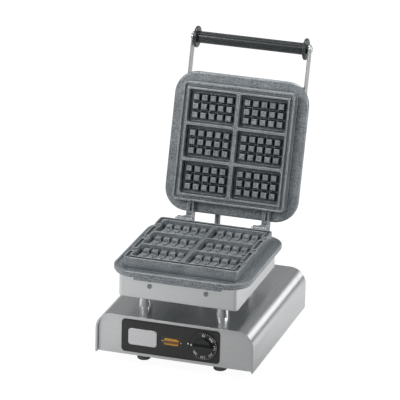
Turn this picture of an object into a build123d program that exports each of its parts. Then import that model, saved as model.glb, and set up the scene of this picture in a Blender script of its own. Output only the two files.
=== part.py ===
from build123d import *
import os
from math import cos, radians, sin

os.makedirs("parts", exist_ok=True)

# Waffle on a stick maker: a counter iron with two hinged cast plates over a sheet-metal base.
# Millimetres. X runs right, -Y is the front with the controls, Z is up.
# The origin lies on the counter under the middle of the base. The lid stands open at rest.

# Base casing
base_width = 320
base_depth = 368
casing_height = 83
foot_height = 24
shoulder_radius = 33
sheet = 1.5
hem_thickness = 3.5
hem_depth = 5
panel_recess = 8
edge_flange = 14
panel_fit = 0.3
vents = 4
vent_pitch = 60
vent_length = 42
vent_width = 4
vent_drop = 16
floor_slots = 9
floor_slot_pitch = 14
floor_slot_length = 70
floor_slot_width = 5

# Feet and standoffs
foot_top_radius = 15
foot_sole_radius = 13
foot_spread_x = 156
foot_spread_y = 256
cone_height = 32.5
cone_base_radius = 13.5
cone_top_radius = 8
cone_spread_x = 157
cone_spread_y = 174
bolt_radius = 4

# Pans round the heaters, above the base and in the lid
pan_width = 241
pan_length = 261
pan_height = 45
pan_corner = 8

# Castings
flange_overhang_x = 19
flange_overhang_y = 12.5
flange_corner = 47
flange_thickness = 12.5
flange_tier = 4.5
flange_tier_inset = 3
gutter_depth = 2.5
gutter_edge = 5
block_inset_x = 23.5
block_inset_y = 24
block_corner = 8
block_rise = 20.3
block_center_y = -37
flange_offset_y = 2
lid_flange_trim = 3
lid_flange_round = 3.5
seam_gap = 0.6
ledge_width = 176
ledge_drop = 5.5
ledge_depth = 7

# Cavities and their pegs
columns = 2
rows = 3
border_x = 12.45
border_y = 13.5
cavity_depth = 15
cavity_draft = 12
cavity_corner = 5
column_wall = 6.5
row_wall = 5
rim_edge = 3
groove_depth = 4
pegs_across = 5
pegs_along = 3
peg_margin_x = 12.3
peg_margin_y = 13
peg_gap = 0.8
peg_draft = 18
peg_height = 11
stick_peg_height = 6.5
stick_slot_width = 16
stick_slot_depth = 3
stick_slot_cheek = 2

# Hinges
open_angle = 105.6
hinge_setback = 13.5
hinge_rise = 2
hinge_spread = 158
knuckle_radius = 10
tongue_width = 13.6
ear_width = 8
pin_head = 2.5
pin_nut = 4
hinge_gap = 0.3
pin_radius = 4
running_fit = 0.05
lug_depth = 10

# Handle
grip_reach = 77.5
grip_radius = 12
grip_flutes = 16
flute_radius = 1.3
disc_radius = 22
disc_thickness = 5.2
disc_boss = 4.1
boss_radius = 9
arm_width = 20
arm_thickness = 3
arm_front_screw = 17.5
arm_back_screw = 15.5
rod_radius = 5

# Controls
overlay_width = 200
overlay_height = 68
overlay_corner = 8
overlay_thickness = 0.6
overlay_x = -9
overlay_z = 64
badge_width = 58
badge_height = 34
badge_thickness = 1.2
badge_x = -66
badge_z = 63
lamp_length = 33.5
lamp_height = 13.5
lamp_rise = 3
lamp_x = -7
lamp_z = 62.5
dial_x = 58
dial_z = 64
dial_radius = 28.5
dial_skirt = 3
hub_radius = 17
hub_rise = 6
bar_length = 44
bar_width = 9
bar_rise = 14
knob_gap = 0.4
shaft_radius = 3
bush_radius = 5

# Heaters
element_radius = 4
element_bend = 14
element_width = 170
element_front = 90
element_back = 78
element_tail = 40
element_drop = 16
clamp_thickness = 3

# Conduit between the base and the lid
hose_radius = 6
hose_bore = 5
hose_bend = 42
base_hose_x = 14
lid_hose_x = -33
base_gland_z = 50
lid_gland_height = 24
gland_radius = 10
gland_length = 12

# Worked-out sizes of the castings, from the pan outwards and then inwards to the pegs
flange_width = pan_width + 2 * flange_overhang_x
flange_length = pan_length + 2 * flange_overhang_y
block_width = flange_width - 2 * block_inset_x
block_length = flange_length - 2 * block_inset_y
cavity_width = (block_width - 2 * border_x - (columns - 1) * column_wall) / columns
cavity_length = (block_length - 2 * border_y - (rows - 1) * row_wall) / rows
peg_pitch_x = (cavity_width - peg_margin_x) / pegs_across
peg_pitch_y = (cavity_length - peg_margin_y) / pegs_along

# Worked-out levels and places
front_y = -base_depth / 2
back_y = base_depth / 2
casing_low = foot_height
casing_top = foot_height + casing_height
pan_low = casing_top + cone_height
flange_low = pan_low + pan_height
flange_top = flange_low + flange_thickness
rim_z = flange_top + block_rise
seam_z = rim_z + seam_gap / 2
flange_center_y = block_center_y + flange_offset_y
flange_back = flange_center_y + flange_length / 2
pan_front = block_center_y - pan_length / 2
pan_back = block_center_y + pan_length / 2
block_back = block_center_y + block_length / 2
hinge_y = flange_back + hinge_setback
hinge_z = flange_top + hinge_rise
lid_flange_back_z = 2 * seam_z - flange_low
lid_top_z = 2 * seam_z - pan_low
arm_z = (lid_flange_back_z + lid_top_z) / 2 - 2
grip_y = pan_front - grip_reach
panel_face = front_y + panel_recess
rear_face = back_y - panel_recess
overlay_face = panel_face - overlay_thickness
floor_plate_z = casing_low + sheet
cavity_pitch_x = cavity_width + column_wall
cavity_pitch_y = cavity_length + row_wall
field_width = columns * cavity_pitch_x - column_wall
field_length = rows * cavity_pitch_y - row_wall
hinge_xs = [-hinge_spread / 2, hinge_spread / 2]
hinge_line = Axis((0, hinge_y, hinge_z), (1, 0, 0))
seam = Plane.XY.offset(seam_z)
tongue_radius = knuckle_radius - hinge_gap


def across(y):
    """The upright plane facing the front at the depth y: local X is X and local Y is Z."""
    return Plane.XZ.offset(-y)


def facing(x, y, z, direction):
    """A place whose local Z points along the direction, for a screw or a hub."""
    return Plane(origin=(x, y, z), z_dir=direction).location


def swing_open(piece):
    """A lid piece modelled shut, turned back about the hinge line to the open rest."""
    return piece.rotate(hinge_line, -open_angle)


def swung(y, z):
    """The place (y, z), taken from the hinge line with the lid shut, once the lid stands open."""
    c = cos(radians(open_angle))
    s = sin(radians(open_angle))
    return (hinge_y + c * y + s * z, hinge_z - s * y + c * z)


def arch(inset):
    """The casing's end view, an upside-down U with round shoulders, set in by the inset."""
    half = base_width / 2 - inset
    top = casing_top - inset
    with BuildSketch() as outline:
        with BuildLine():
            FilletPolyline(
                (-half, casing_low),
                (-half, top),
                (half, top),
                (half, casing_low),
                radius=shoulder_radius - inset,
            )
            Line((half, casing_low), (-half, casing_low))
        make_face()
    return outline.sketch


def pan_screw(shank_radius, shank_length, head_radius, head_height):
    """A slotted pan-head screw that points along -Z, its seat at z = 0."""
    with BuildPart() as screw:
        with BuildSketch():
            Circle(head_radius)
        extrude(amount=head_height)
        chamfer(screw.edges().group_by(Axis.Z)[-1], head_height * 0.35)
        with BuildSketch(Plane.XY.offset(head_height)):
            Rectangle(head_radius * 2.2, head_radius * 0.24)
        extrude(amount=-head_height * 0.4, mode=Mode.SUBTRACT)
        with BuildSketch():
            Circle(shank_radius)
        extrude(amount=-shank_length)
    return screw.part


def hex_nut(bore_radius, flats, height):
    """A hexagon nut that stands on z = 0."""
    with BuildPart() as nut:
        with BuildSketch():
            RegularPolygon(radius=flats / 2, side_count=6, major_radius=False)
            Circle(bore_radius, mode=Mode.SUBTRACT)
        extrude(amount=height)
    return nut.part


def hex_bolt(shank_radius, shank_length, flats, head_height):
    """A hexagon bolt that points along -Z, its head's seat at z = 0."""
    with BuildPart() as bolt:
        with BuildSketch():
            RegularPolygon(radius=flats / 2, side_count=6, major_radius=False)
        extrude(amount=head_height)
        with BuildSketch():
            Circle(shank_radius)
        extrude(amount=-shank_length)
    return bolt.part


def cable_gland(bore_radius):
    """A hexagon gland on z = 0 with a ring nose outside and a threaded neck and nut inside."""
    with BuildPart() as gland:
        with BuildSketch():
            RegularPolygon(radius=gland_radius, side_count=6, major_radius=False)
        extrude(amount=gland_length * 0.5)
        with BuildSketch(Plane.XY.offset(gland_length * 0.5)):
            Circle(gland_radius * 0.9)
        extrude(amount=gland_length * 0.5)
        chamfer(gland.edges().group_by(Axis.Z)[-1], 1.2)
        with BuildSketch():
            Circle(gland_radius * 0.75)
        extrude(amount=-gland_length)
        with BuildSketch(Plane.XY.offset(-sheet)):
            RegularPolygon(radius=gland_radius, side_count=6, major_radius=False)
        extrude(amount=-4)
        with BuildSketch(Plane.XY.offset(gland_length)):
            Circle(bore_radius)
        extrude(amount=-2 * gland_length, mode=Mode.SUBTRACT)
    return gland.part


def baking_plate(upper):
    """One casting, face up under the seam: flange, block, rims, cavities and pegs.

    The lower one has a gutter round its block, short pegs under the stick and slots for the stick.
    """
    peg_x = peg_pitch_x - peg_gap
    peg_y = peg_pitch_y - peg_gap
    floor_z = rim_z - cavity_depth
    trim = lid_flange_trim if upper else 0
    with BuildPart() as casting:
        with BuildSketch(Plane.XY.offset(flange_low + flange_tier)):
            with Locations((0, flange_center_y - trim / 2)):
                RectangleRounded(flange_width, flange_length - trim, flange_corner)
        extrude(amount=flange_thickness - flange_tier)
        if upper:
            fillet(casting.edges().group_by(Axis.Z)[-1], lid_flange_round)
        else:
            chamfer(casting.edges().group_by(Axis.Z)[-1], 1)
            with BuildSketch(Plane.XY.offset(flange_top)):
                with Locations((0, flange_center_y)):
                    RectangleRounded(
                        flange_width - 2 * gutter_edge,
                        flange_length - 2 * gutter_edge,
                        flange_corner - gutter_edge,
                    )
            extrude(amount=-gutter_depth, taper=40, mode=Mode.SUBTRACT)
        with BuildSketch(Plane.XY.offset(flange_low)):
            with Locations((0, flange_center_y - trim / 2)):
                RectangleRounded(
                    flange_width - 2 * flange_tier_inset,
                    flange_length - trim - 2 * flange_tier_inset,
                    flange_corner - flange_tier_inset,
                )
        extrude(amount=flange_tier)
        with BuildSketch(Plane.XY.offset(rim_z)):
            with Locations((0, block_center_y)):
                RectangleRounded(block_width, block_length, block_corner)
        extrude(amount=-(block_rise + gutter_depth), taper=-1.5)
        # The groove between the outer and the inner rim
        with BuildSketch(Plane.XY.offset(rim_z)):
            with Locations((0, block_center_y)):
                RectangleRounded(
                    block_width - 2 * rim_edge,
                    block_length - 2 * rim_edge,
                    block_corner - rim_edge,
                )
                Rectangle(
                    field_width + 2 * rim_edge,
                    field_length + 2 * rim_edge,
                    mode=Mode.SUBTRACT,
                )
        extrude(amount=-groove_depth, mode=Mode.SUBTRACT)
        # The cavities, drawn in towards their floors
        with BuildSketch(Plane.XY.offset(rim_z)):
            with Locations((0, block_center_y)):
                with GridLocations(cavity_pitch_x, cavity_pitch_y, columns, rows):
                    RectangleRounded(cavity_width, cavity_length, cavity_corner)
        extrude(amount=-cavity_depth, taper=cavity_draft, mode=Mode.SUBTRACT)
        # The pegs; the lower plate's middle row in each cavity is short, under the stick
        with BuildSketch(Plane.XY.offset(floor_z)):
            with Locations((0, block_center_y)):
                with GridLocations(cavity_pitch_x, cavity_pitch_y, columns, rows):
                    with GridLocations(peg_pitch_x, (pegs_along - 1) * peg_pitch_y, pegs_across, 2):
                        Rectangle(peg_x, peg_y)
        extrude(amount=peg_height, taper=peg_draft)
        with BuildSketch(Plane.XY.offset(floor_z)):
            with Locations((0, block_center_y)):
                with GridLocations(cavity_pitch_x, cavity_pitch_y, columns, rows):
                    with GridLocations(peg_pitch_x, peg_pitch_y, pegs_across, pegs_along - 2):
                        Rectangle(peg_x, peg_y)
        extrude(amount=peg_height if upper else stick_peg_height, taper=peg_draft)
        if not upper:
            # Flat slots that let the sticks out at both sides, with a cheek at each edge
            border = (block_width - field_width) / 2
            border_pitch = (block_width + field_width) / 2
            with BuildSketch(Plane.XY.offset(rim_z)):
                with Locations((0, block_center_y)):
                    with GridLocations(border_pitch, cavity_pitch_y, 2, rows):
                        Rectangle(border - 2, stick_slot_width + 2 * stick_slot_cheek)
            extrude(amount=-groove_depth)
            with BuildSketch(Plane.XY.offset(rim_z)):
                with Locations((0, block_center_y)):
                    with GridLocations(border_pitch, cavity_pitch_y, 2, rows):
                        Rectangle(border + 4, stick_slot_width)
            extrude(amount=-stick_slot_depth, mode=Mode.SUBTRACT)
        # The seat of the heating element, half sunk in the underside
        with BuildLine():
            FilletPolyline(
                (-element_tail, block_center_y + element_back, flange_low),
                (-element_width / 2, block_center_y + element_back, flange_low),
                (-element_width / 2, block_center_y - element_front, flange_low),
                (element_width / 2, block_center_y - element_front, flange_low),
                (element_width / 2, block_center_y + element_back, flange_low),
                (element_tail, block_center_y + element_back, flange_low),
                radius=element_bend,
            )
        with BuildSketch(
            Plane(
                origin=(-element_tail, block_center_y + element_back, flange_low),
                z_dir=(-1, 0, 0),
            )
        ):
            Circle(element_radius + running_fit)
        sweep(mode=Mode.SUBTRACT)
    return casting.part


def heating_element():
    """A tube element under the casting: one loop with its two ends bent down."""
    high = flange_low
    with BuildPart() as element:
        with BuildLine():
            FilletPolyline(
                (-element_tail, block_center_y + element_back, high - element_drop),
                (-element_tail, block_center_y + element_back, high),
                (-element_width / 2, block_center_y + element_back, high),
                (-element_width / 2, block_center_y - element_front, high),
                (element_width / 2, block_center_y - element_front, high),
                (element_width / 2, block_center_y + element_back, high),
                (element_tail, block_center_y + element_back, high),
                (element_tail, block_center_y + element_back, high - element_drop),
                radius=element_bend,
            )
        with BuildSketch(
            Plane(
                origin=(-element_tail, block_center_y + element_back, high - element_drop),
                z_dir=(0, 0, 1),
            )
        ):
            Circle(element_radius)
        sweep()
    return element.part


def clamp_plate():
    """The plate that presses the element to the casting, open at the element's ends."""
    with BuildPart() as clamp:
        with BuildSketch(Plane.XY.offset(flange_low - element_radius)):
            with Locations((0, block_center_y)):
                RectangleRounded(
                    element_width + 8 * element_radius,
                    element_front + element_back + 8 * element_radius,
                    6,
                )
            with Locations((0, block_center_y + element_back)):
                Rectangle(
                    2 * (element_tail + element_bend + 1),
                    12 * element_radius,
                    mode=Mode.SUBTRACT,
                )
            with Locations((0, block_center_y)):
                with GridLocations(element_width * 0.6, element_front, 2, 2):
                    Circle(3.2, mode=Mode.SUBTRACT)
        extrude(amount=-clamp_thickness)
    return clamp.part


def clamp_bolts():
    """Four bolts that draw the clamp plate to the casting, with a spacer sleeve each."""
    bolt = hex_bolt(3, element_radius + clamp_thickness, 10, 4)
    with BuildPart() as bolts:
        for dx in (-1, 1):
            for dy in (-1, 1):
                x = dx * element_width * 0.3
                y = block_center_y + dy * element_front / 2
                z = flange_low - element_radius - clamp_thickness
                with Locations(facing(x, y, z, (0, 0, -1))):
                    add(bolt)
    return bolts.part


def insulation_slab():
    """The wool slab between the clamp plate and the pan, with room for the element's ends."""
    high = flange_low - element_radius - clamp_thickness - 4
    low = pan_low + sheet
    with BuildPart() as slab:
        with BuildSketch(Plane.XY.offset(low)):
            with Locations((0, block_center_y)):
                RectangleRounded(pan_width - 4 * sheet, pan_length - 4 * sheet, pan_corner)
            with Locations((0, block_center_y + element_back)):
                Rectangle(
                    2 * (element_tail + element_bend + 1),
                    14 * element_radius,
                    mode=Mode.SUBTRACT,
                )
            with Locations((0, block_center_y)):
                with GridLocations(cone_spread_x, cone_spread_y, 2, 2):
                    Circle(12, mode=Mode.SUBTRACT)
        extrude(amount=high - low)
    return slab.part


def heater_pan():
    """The pan's shell: a floor and four walls, open towards the casting."""
    with BuildPart() as pan:
        with BuildSketch(Plane.XY.offset(pan_low)):
            with Locations((0, block_center_y)):
                RectangleRounded(pan_width, pan_length, pan_corner)
        extrude(amount=pan_height)
        fillet(pan.edges().group_by(Axis.Z)[0], 3)
        with BuildSketch(Plane.XY.offset(pan_low + sheet)):
            with Locations((0, block_center_y)):
                RectangleRounded(
                    pan_width - 2 * sheet,
                    pan_length - 2 * sheet,
                    pan_corner - sheet,
                )
        extrude(amount=pan_height, mode=Mode.SUBTRACT)
    return pan.part


casing_outer = arch(0)
casing_inner = arch(sheet)
casing_hem = arch(hem_thickness)
panel_outline = arch(sheet + panel_fit)
lower_casting = baking_plate(upper=False)
upper_casting = baking_plate(upper=True)
element_blank = heating_element()
clamp_blank = clamp_plate()
clamp_bolts_blank = clamp_bolts()
slab_blank = insulation_slab()
pan_blank = heater_pan()
wire_hole_y = -30
wire_tube_radius = 9

# Base casing
with BuildPart() as base_cover:
    with BuildSketch(across(back_y)):
        add(casing_outer)
        add(casing_inner, mode=Mode.SUBTRACT)
    extrude(amount=base_depth)
    for y in (front_y + hem_depth, back_y):
        with BuildSketch(across(y)):
            add(casing_inner)
            add(casing_hem, mode=Mode.SUBTRACT)
        extrude(amount=hem_depth)
    with BuildSketch(Plane.XY.offset(casing_low)):
        with GridLocations(base_width - edge_flange, 0, 2, 1):
            Rectangle(edge_flange, base_depth - 2 * (panel_recess + sheet + edge_flange))
    extrude(amount=sheet)
    with BuildSketch(Plane.XY.offset(casing_top)):
        with Locations((0, block_center_y)):
            with GridLocations(cone_spread_x, cone_spread_y, 2, 2):
                Circle(bolt_radius + 0.3)
        with Locations((0, wire_hole_y)):
            Circle(wire_tube_radius + 0.1)
    extrude(amount=-2 * sheet, mode=Mode.SUBTRACT)
base_cover.part.label = "base_cover"
export_step(base_cover.part, "parts/base_cover.step")

with BuildPart() as base_front_panel:
    with BuildSketch(across(panel_face + sheet)):
        add(panel_outline)
        with Locations((dial_x, dial_z)):
            Circle(bush_radius + 0.2, mode=Mode.SUBTRACT)
        with Locations((lamp_x, lamp_z)):
            Rectangle(lamp_length - 8, lamp_height - 4, mode=Mode.SUBTRACT)
    extrude(amount=sheet)
    with BuildSketch(Plane.XY.offset(casing_low)):
        with Locations((0, panel_face + sheet + edge_flange / 2)):
            Rectangle(base_width - 2 * edge_flange - 2 * sheet, edge_flange)
    extrude(amount=sheet)
base_front_panel.part.label = "base_front_panel"
export_step(base_front_panel.part, "parts/base_front_panel.step")

with BuildPart() as base_back_panel:
    with BuildSketch(across(rear_face)):
        add(panel_outline)
        with Locations((base_hose_x, base_gland_z)):
            Circle(gland_radius * 0.75 + 0.1, mode=Mode.SUBTRACT)
        with Locations((dial_x, base_gland_z)):
            Circle(gland_radius * 0.75 + 0.1, mode=Mode.SUBTRACT)
        with Locations((0, casing_top - vent_drop)):
            with GridLocations(vent_pitch, 0, vents, 1):
                SlotOverall(vent_length, vent_width, mode=Mode.SUBTRACT)
    extrude(amount=sheet)
    with BuildSketch(Plane.XY.offset(casing_low)):
        with Locations((0, rear_face - sheet - edge_flange / 2)):
            Rectangle(base_width - 2 * edge_flange - 2 * sheet, edge_flange)
    extrude(amount=sheet)
base_back_panel.part.label = "base_back_panel"
export_step(base_back_panel.part, "parts/base_back_panel.step")

with BuildPart() as base_bottom_plate:
    with BuildSketch(Plane.XY.offset(floor_plate_z)):
        Rectangle(
            base_width - 2 * (sheet + panel_fit),
            base_depth - 2 * (panel_recess + sheet + panel_fit),
        )
        with GridLocations(0, floor_slot_pitch, 1, floor_slots):
            SlotOverall(floor_slot_length, floor_slot_width, mode=Mode.SUBTRACT)
        with GridLocations(foot_spread_x, foot_spread_y, 2, 2):
            Circle(2.7, mode=Mode.SUBTRACT)
        with GridLocations(base_width - edge_flange, base_depth * 0.7, 2, 2):
            Circle(2.2, mode=Mode.SUBTRACT)
    extrude(amount=sheet)
base_bottom_plate.part.label = "base_bottom_plate"
export_step(base_bottom_plate.part, "parts/base_bottom_plate.step")

with BuildPart() as bottom_screws:
    with BuildSketch(Plane.XY.offset(floor_plate_z + sheet)):
        with GridLocations(base_width - edge_flange, base_depth * 0.7, 2, 2):
            Circle(4)
    extrude(amount=2.4)
    with BuildSketch(Plane.XY.offset(floor_plate_z + sheet)):
        with GridLocations(base_width - edge_flange, base_depth * 0.7, 2, 2):
            Circle(2)
    extrude(amount=-sheet)
bottom_screws.part.label = "bottom_screws"
export_step(bottom_screws.part, "parts/bottom_screws.step")

# Feet
sole_recess = 8
with BuildPart() as foot_blank:
    with BuildSketch(Plane.XZ):
        with BuildLine():
            Polyline(
                (5.2, 0),
                (foot_sole_radius - 1, 0),
                (foot_sole_radius, 1),
                (foot_top_radius, floor_plate_z - 4),
                (foot_top_radius, floor_plate_z),
                (2.7, floor_plate_z),
                (2.7, sole_recess),
                (5.2, sole_recess),
                (5.2, 0),
            )
        make_face()
    revolve(axis=Axis.Z)
with BuildPart() as rubber_feet:
    with GridLocations(foot_spread_x, foot_spread_y, 2, 2):
        add(foot_blank.part)
rubber_feet.part.label = "rubber_feet"
export_step(rubber_feet.part, "parts/rubber_feet.step")

foot_screw = pan_screw(2.5, floor_plate_z + sheet - sole_recess + 5, 5, 3.2)
with BuildPart() as foot_screws:
    for x in (-foot_spread_x / 2, foot_spread_x / 2):
        for y in (-foot_spread_y / 2, foot_spread_y / 2):
            with Locations(facing(x, y, sole_recess, (0, 0, -1))):
                add(foot_screw)
foot_screws.part.label = "foot_screws"
export_step(foot_screws.part, "parts/foot_screws.step")

foot_nut = hex_nut(2.5, 8, 4)
with BuildPart() as foot_nuts:
    with Locations((0, 0, floor_plate_z + sheet)):
        with GridLocations(foot_spread_x, foot_spread_y, 2, 2):
            add(foot_nut)
foot_nuts.part.label = "foot_nuts"
export_step(foot_nuts.part, "parts/foot_nuts.step")

# Standoffs
with BuildPart() as cone_blank:
    with BuildSketch(Plane.XZ):
        with BuildLine():
            Polyline(
                (bolt_radius + 0.3, casing_top),
                (cone_base_radius, casing_top),
                (cone_base_radius, casing_top + 3),
                (cone_top_radius, pan_low - 4),
                (cone_top_radius, pan_low),
                (bolt_radius + 0.3, pan_low),
                (bolt_radius + 0.3, casing_top),
            )
        make_face()
    revolve(axis=Axis.Z)
with BuildPart() as standoff_cones:
    with Locations((0, block_center_y)):
        with GridLocations(cone_spread_x, cone_spread_y, 2, 2):
            add(cone_blank.part)
standoff_cones.part.label = "standoff_cones"
export_step(standoff_cones.part, "parts/standoff_cones.step")

standoff_bolt = hex_bolt(bolt_radius, cone_height + 2 * sheet + 9, 13, 5)
with BuildPart() as standoff_bolts:
    for x in (-cone_spread_x / 2, cone_spread_x / 2):
        for y in (block_center_y - cone_spread_y / 2, block_center_y + cone_spread_y / 2):
            with Locations(facing(x, y, casing_top - sheet, (0, 0, -1))):
                add(standoff_bolt)
standoff_bolts.part.label = "standoff_bolts"
export_step(standoff_bolts.part, "parts/standoff_bolts.step")

standoff_nut = hex_nut(bolt_radius, 13, 6)
with BuildPart() as standoff_nuts:
    with Locations((0, block_center_y, pan_low + sheet)):
        with GridLocations(cone_spread_x, cone_spread_y, 2, 2):
            add(standoff_nut)
standoff_nuts.part.label = "standoff_nuts"
export_step(standoff_nuts.part, "parts/standoff_nuts.step")

with BuildPart() as wire_tube:
    with BuildSketch(Plane.XY.offset(casing_top - sheet - 3)):
        with Locations((0, wire_hole_y)):
            Circle(wire_tube_radius)
            Circle(wire_tube_radius - 1.5, mode=Mode.SUBTRACT)
    extrude(amount=cone_height + 2 * sheet + 6)
wire_tube.part.label = "wire_tube"
export_step(wire_tube.part, "parts/wire_tube.step")

# Lower pan, casting and heater
skirt_screw_x = 57
skirt_screw_z = pan_low + 28
skirt_screw_radius = 2
with BuildPart() as lower_skirt:
    add(pan_blank)
    with BuildSketch(Plane.XY.offset(pan_low + sheet)):
        with Locations((0, block_center_y)):
            with GridLocations(cone_spread_x, cone_spread_y, 2, 2):
                Circle(bolt_radius + 0.1)
        with Locations((0, wire_hole_y)):
            Circle(wire_tube_radius + 0.1)
    extrude(amount=-2 * sheet, mode=Mode.SUBTRACT)
    for x in (-skirt_screw_x, skirt_screw_x):
        with Locations(facing(x, block_center_y, skirt_screw_z, (0, 1, 0))):
            Cylinder(skirt_screw_radius + 0.1, pan_length + 2, mode=Mode.SUBTRACT)
lower_skirt.part.label = "lower_skirt"
export_step(lower_skirt.part, "parts/lower_skirt.step")

skirt_screw = pan_screw(skirt_screw_radius, 9, 4.5, 2.6)
skirt_clip_depth = 9
with BuildPart() as lower_plate:
    add(lower_casting)
    with BuildSketch(Plane.XY.offset(flange_low)):
        with Locations((0, pan_front - ledge_depth / 2)):
            Rectangle(ledge_width, ledge_depth)
    extrude(amount=-ledge_drop)
    # Lugs inside the pan that take the skirt's screws
    for x in (-skirt_screw_x, skirt_screw_x):
        for y in (pan_front + sheet + skirt_clip_depth / 2, pan_back - sheet - skirt_clip_depth / 2):
            with BuildSketch(Plane.XY.offset(flange_low)):
                with Locations((x, y)):
                    Rectangle(14, skirt_clip_depth)
            extrude(amount=skirt_screw_z - 7 - flange_low)
    # Hinge ears with the stop between them
    for hinge_x in hinge_xs:
        for side in (-1, 1):
            ear_x = hinge_x + side * (tongue_width / 2 + hinge_gap + ear_width / 2)
            with BuildSketch(Plane.YZ.offset(ear_x - ear_width / 2)):
                with BuildLine():
                    Polyline(
                        (flange_back - lug_depth, flange_low),
                        (hinge_y + knuckle_radius, flange_low - 3),
                        (hinge_y + knuckle_radius, hinge_z),
                        (hinge_y, hinge_z + knuckle_radius),
                        (flange_back - lug_depth, flange_top),
                        (flange_back - lug_depth, flange_low),
                    )
                make_face()
                with Locations((hinge_y, hinge_z)):
                    Circle(knuckle_radius)
                    Circle(pin_radius + running_fit, mode=Mode.SUBTRACT)
            extrude(amount=ear_width)
        stop_half = tongue_width / 2 + hinge_gap + 1
        with BuildSketch(Plane.YZ.offset(hinge_x - stop_half)):
            with BuildLine():
                Polyline(
                    swung(knuckle_radius, 3),
                    swung(knuckle_radius, 13),
                    swung(knuckle_radius + 4, 13),
                    swung(knuckle_radius + 4, 3),
                    swung(knuckle_radius, 3),
                )
            make_face()
        extrude(amount=2 * stop_half)
    for x in (-skirt_screw_x, skirt_screw_x):
        with Locations(
            facing(x, pan_front, skirt_screw_z, (0, -1, 0)),
            facing(x, pan_back, skirt_screw_z, (0, 1, 0)),
        ):
            Cylinder(skirt_screw_radius, 20, mode=Mode.SUBTRACT)
lower_plate.part.label = "lower_plate"
export_step(lower_plate.part, "parts/lower_plate.step")

with BuildPart() as skirt_screws:
    for x in (-skirt_screw_x, skirt_screw_x):
        with Locations(
            facing(x, pan_front, skirt_screw_z, (0, -1, 0)),
            facing(x, pan_back, skirt_screw_z, (0, 1, 0)),
        ):
            add(skirt_screw)
skirt_screws.part.label = "skirt_screws"
export_step(skirt_screws.part, "parts/skirt_screws.step")

with BuildPart() as lower_heater:
    add(element_blank)
lower_heater.part.label = "lower_heater"
export_step(lower_heater.part, "parts/lower_heater.step")

with BuildPart() as lower_heater_clamp:
    add(clamp_blank)
lower_heater_clamp.part.label = "lower_heater_clamp"
export_step(lower_heater_clamp.part, "parts/lower_heater_clamp.step")

with BuildPart() as lower_clamp_bolts:
    add(clamp_bolts_blank)
lower_clamp_bolts.part.label = "lower_clamp_bolts"
export_step(lower_clamp_bolts.part, "parts/lower_clamp_bolts.step")

with BuildPart() as lower_insulation:
    add(slab_blank)
    with BuildSketch(Plane.XY.offset(pan_low)):
        with Locations((0, wire_hole_y)):
            Circle(wire_tube_radius + 1)
    extrude(amount=pan_height, mode=Mode.SUBTRACT)
    for x in (-skirt_screw_x, skirt_screw_x):
        for y in (pan_front, pan_back):
            with Locations((x, y, skirt_screw_z)):
                Box(18, 4 * skirt_clip_depth, 24, mode=Mode.SUBTRACT)
lower_insulation.part.label = "lower_insulation"
export_step(lower_insulation.part, "parts/lower_insulation.step")

# Hinge pins
pin_length = tongue_width + 2 * (hinge_gap + ear_width)
hinge_pin = pan_screw(pin_radius, pin_length + pin_nut, 8, pin_head)
with BuildPart() as hinge_pins:
    for hinge_x in hinge_xs:
        with Locations(facing(hinge_x + pin_length / 2, hinge_y, hinge_z, (1, 0, 0))):
            add(hinge_pin)
hinge_pins.part.label = "hinge_pins"
export_step(hinge_pins.part, "parts/hinge_pins.step")

hinge_nut = hex_nut(pin_radius, 13, pin_nut)
with BuildPart() as hinge_nuts:
    for hinge_x in hinge_xs:
        with Locations(facing(hinge_x - pin_length / 2, hinge_y, hinge_z, (-1, 0, 0))):
            add(hinge_nut)
hinge_nuts.part.label = "hinge_nuts"
export_step(hinge_nuts.part, "parts/hinge_nuts.step")

# Controls
with BuildPart() as control_overlay:
    with BuildSketch(across(panel_face)):
        with Locations((overlay_x, overlay_z)):
            RectangleRounded(overlay_width, overlay_height, overlay_corner)
        with Locations((dial_x, dial_z)):
            Circle(bush_radius + 0.2, mode=Mode.SUBTRACT)
        with Locations((lamp_x, lamp_z)):
            Rectangle(lamp_length - 8, lamp_height - 4, mode=Mode.SUBTRACT)
    extrude(amount=overlay_thickness)
control_overlay.part.label = "control_overlay"
export_step(control_overlay.part, "parts/control_overlay.step")

with BuildPart() as badge_plate:
    with BuildSketch(across(overlay_face)):
        with Locations((badge_x, badge_z)):
            RectangleRounded(badge_width, badge_height, 6)
    extrude(amount=badge_thickness)
    chamfer(badge_plate.edges().group_by(Axis.Y)[0], 0.5)
badge_plate.part.label = "badge_plate"
export_step(badge_plate.part, "parts/badge_plate.step")

with BuildPart() as pilot_lamp_lens:
    with BuildSketch(across(overlay_face)):
        with Locations((lamp_x, lamp_z)):
            SlotOverall(lamp_length, lamp_height)
    extrude(amount=lamp_rise)
    fillet(pilot_lamp_lens.edges().group_by(Axis.Y)[0], 1.6)
pilot_lamp_lens.part.label = "pilot_lamp_lens"
export_step(pilot_lamp_lens.part, "parts/pilot_lamp_lens.step")

with BuildPart() as pilot_lamp_body:
    with BuildSketch(across(overlay_face)):
        with Locations((lamp_x, lamp_z)):
            Rectangle(lamp_length - 8.4, lamp_height - 4.4)
    extrude(amount=-26)
    for dx in (-6, 6):
        with Locations(facing(lamp_x + dx, overlay_face + 26, lamp_z, (0, 1, 0))):
            Box(0.8, 6, 14)
pilot_lamp_body.part.label = "pilot_lamp_body"
export_step(pilot_lamp_body.part, "parts/pilot_lamp_body.step")

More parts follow.
